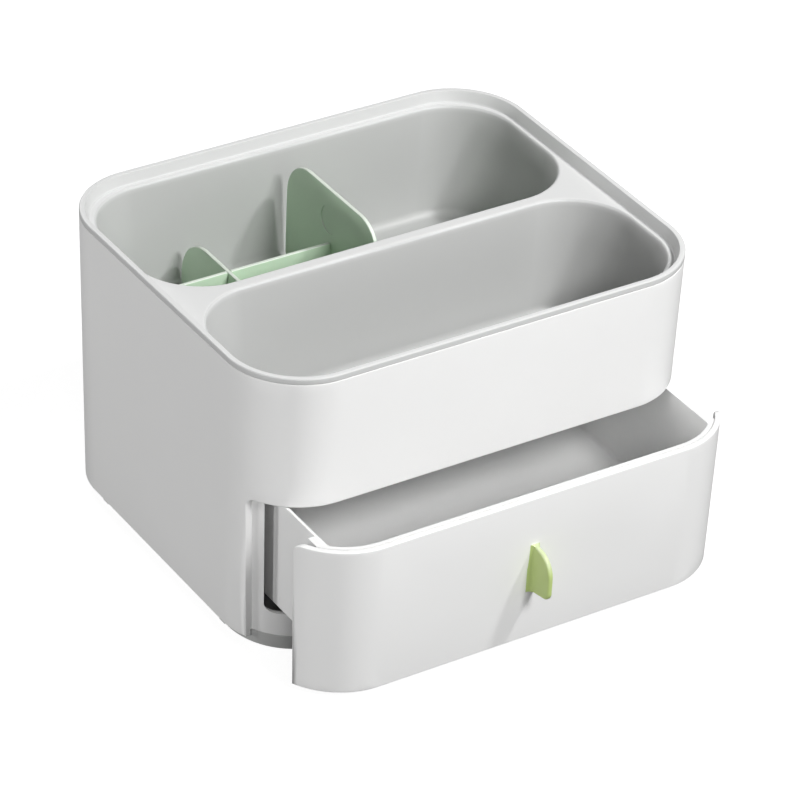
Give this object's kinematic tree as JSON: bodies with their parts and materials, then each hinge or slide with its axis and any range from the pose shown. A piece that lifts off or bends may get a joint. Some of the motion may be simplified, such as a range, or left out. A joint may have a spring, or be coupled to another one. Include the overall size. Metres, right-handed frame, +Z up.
{
  "type": "bathroom organizer with drawer",
  "caption": "Countertop organizer with a lift-out two-well tray, removable dividers and a curved front drawer with a vertical finger pull.",
  "frame": {"origin": "centre of the base plate's flat underside, on the surface the organizer stands on", "axes": "+Z up, -Y the way the drawer opens, +X to the right seen from the front"},
  "size_m": [0.25, 0.2649, 0.1575],
  "materials": {
    "white_plastic": "satin",
    "grey_plastic": "satin",
    "sage_plastic": "satin",
    "green_plastic": "satin",
    "screw_steel": "satin"
  },
  "bodies": {
    "housing": {"outer_body": "white_plastic", "base_plate": "grey_plastic", "base_screws": "screw_steel"},
    "tray": {"top_tray": "grey_plastic"},
    "divider_set": {"tall_divider": "sage_plastic", "long_divider": "sage_plastic"},
    "divider_cross": {"cross_divider": "sage_plastic"},
    "drawer": {"drawer_tub": "white_plastic", "drawer_front": "white_plastic", "pull_tab": "green_plastic", "tab_screws": "screw_steel"}
  },
  "joints": [
    {"name": "drawer_slide", "type": "slide", "parent": "housing", "child": "drawer", "axis": [0, -1, 0], "range_m": [-0.04167, 0.1]},
    {"name": "tray_lift", "type": "slide", "parent": "housing", "child": "tray", "axis": [0, 0, 1], "range_m": [0, 0.09]},
    {"name": "divider_lift", "type": "slide", "parent": "tray", "child": "divider_set", "axis": [0, 0, 1], "range_m": [0, 0.08]},
    {"name": "cross_lift", "type": "slide", "parent": "divider_set", "child": "divider_cross", "axis": [0, 0, 1], "range_m": [0, 0.04]}
  ]
}
